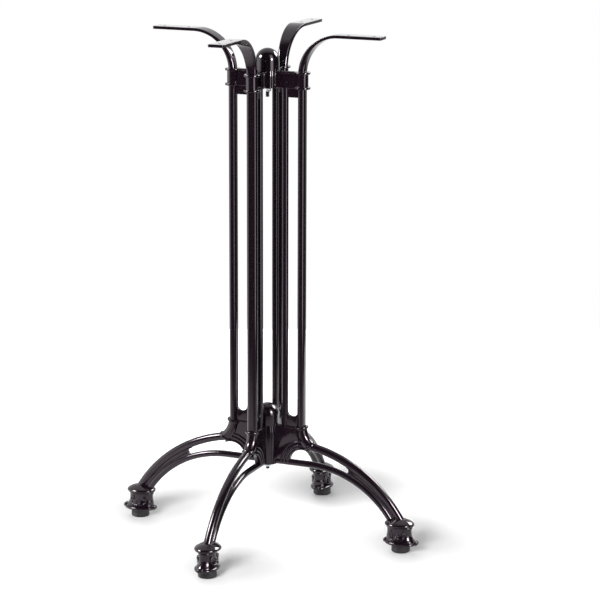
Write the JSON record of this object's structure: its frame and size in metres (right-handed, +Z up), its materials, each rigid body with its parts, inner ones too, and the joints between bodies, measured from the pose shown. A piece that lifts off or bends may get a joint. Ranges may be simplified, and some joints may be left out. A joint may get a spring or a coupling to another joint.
{
  "type": "table leg",
  "caption": "Cast pedestal base for a bar-height table: slotted column of paired posts, level screw arms, arched legs and waisted ornamental feet on glides.",
  "frame": {"origin": "on the floor, under the centre line of the column", "axes": "+Z up the column, +X along the right branch, +Y along the back branch"},
  "size_m": [0.6694, 0.6694, 1.05],
  "materials": {
    "gloss_black_iron": "smooth gloss black paint over cast iron",
    "black_steel": "blackened threaded steel",
    "zinc_steel": "bright zinc plated steel",
    "glide_plastic": "matt black moulded plastic"
  },
  "bodies": {
    "root": {"leg_right": "gloss_black_iron", "leg_back": "gloss_black_iron", "leg_left": "gloss_black_iron", "leg_front": "gloss_black_iron", "top_dome_nut": "gloss_black_iron", "top_stud": "black_steel", "top_washer": "zinc_steel", "top_nut": "zinc_steel", "lower_dome_nut": "gloss_black_iron", "lower_stud": "black_steel", "lower_washer": "zinc_steel", "lower_nut": "zinc_steel", "glide_right": "glide_plastic", "glide_pin_right": "zinc_steel", "glide_back": "glide_plastic", "glide_pin_back": "zinc_steel", "glide_left": "glide_plastic", "glide_pin_left": "zinc_steel", "glide_front": "glide_plastic", "glide_pin_front": "zinc_steel"}
  },
  "joints": []
}
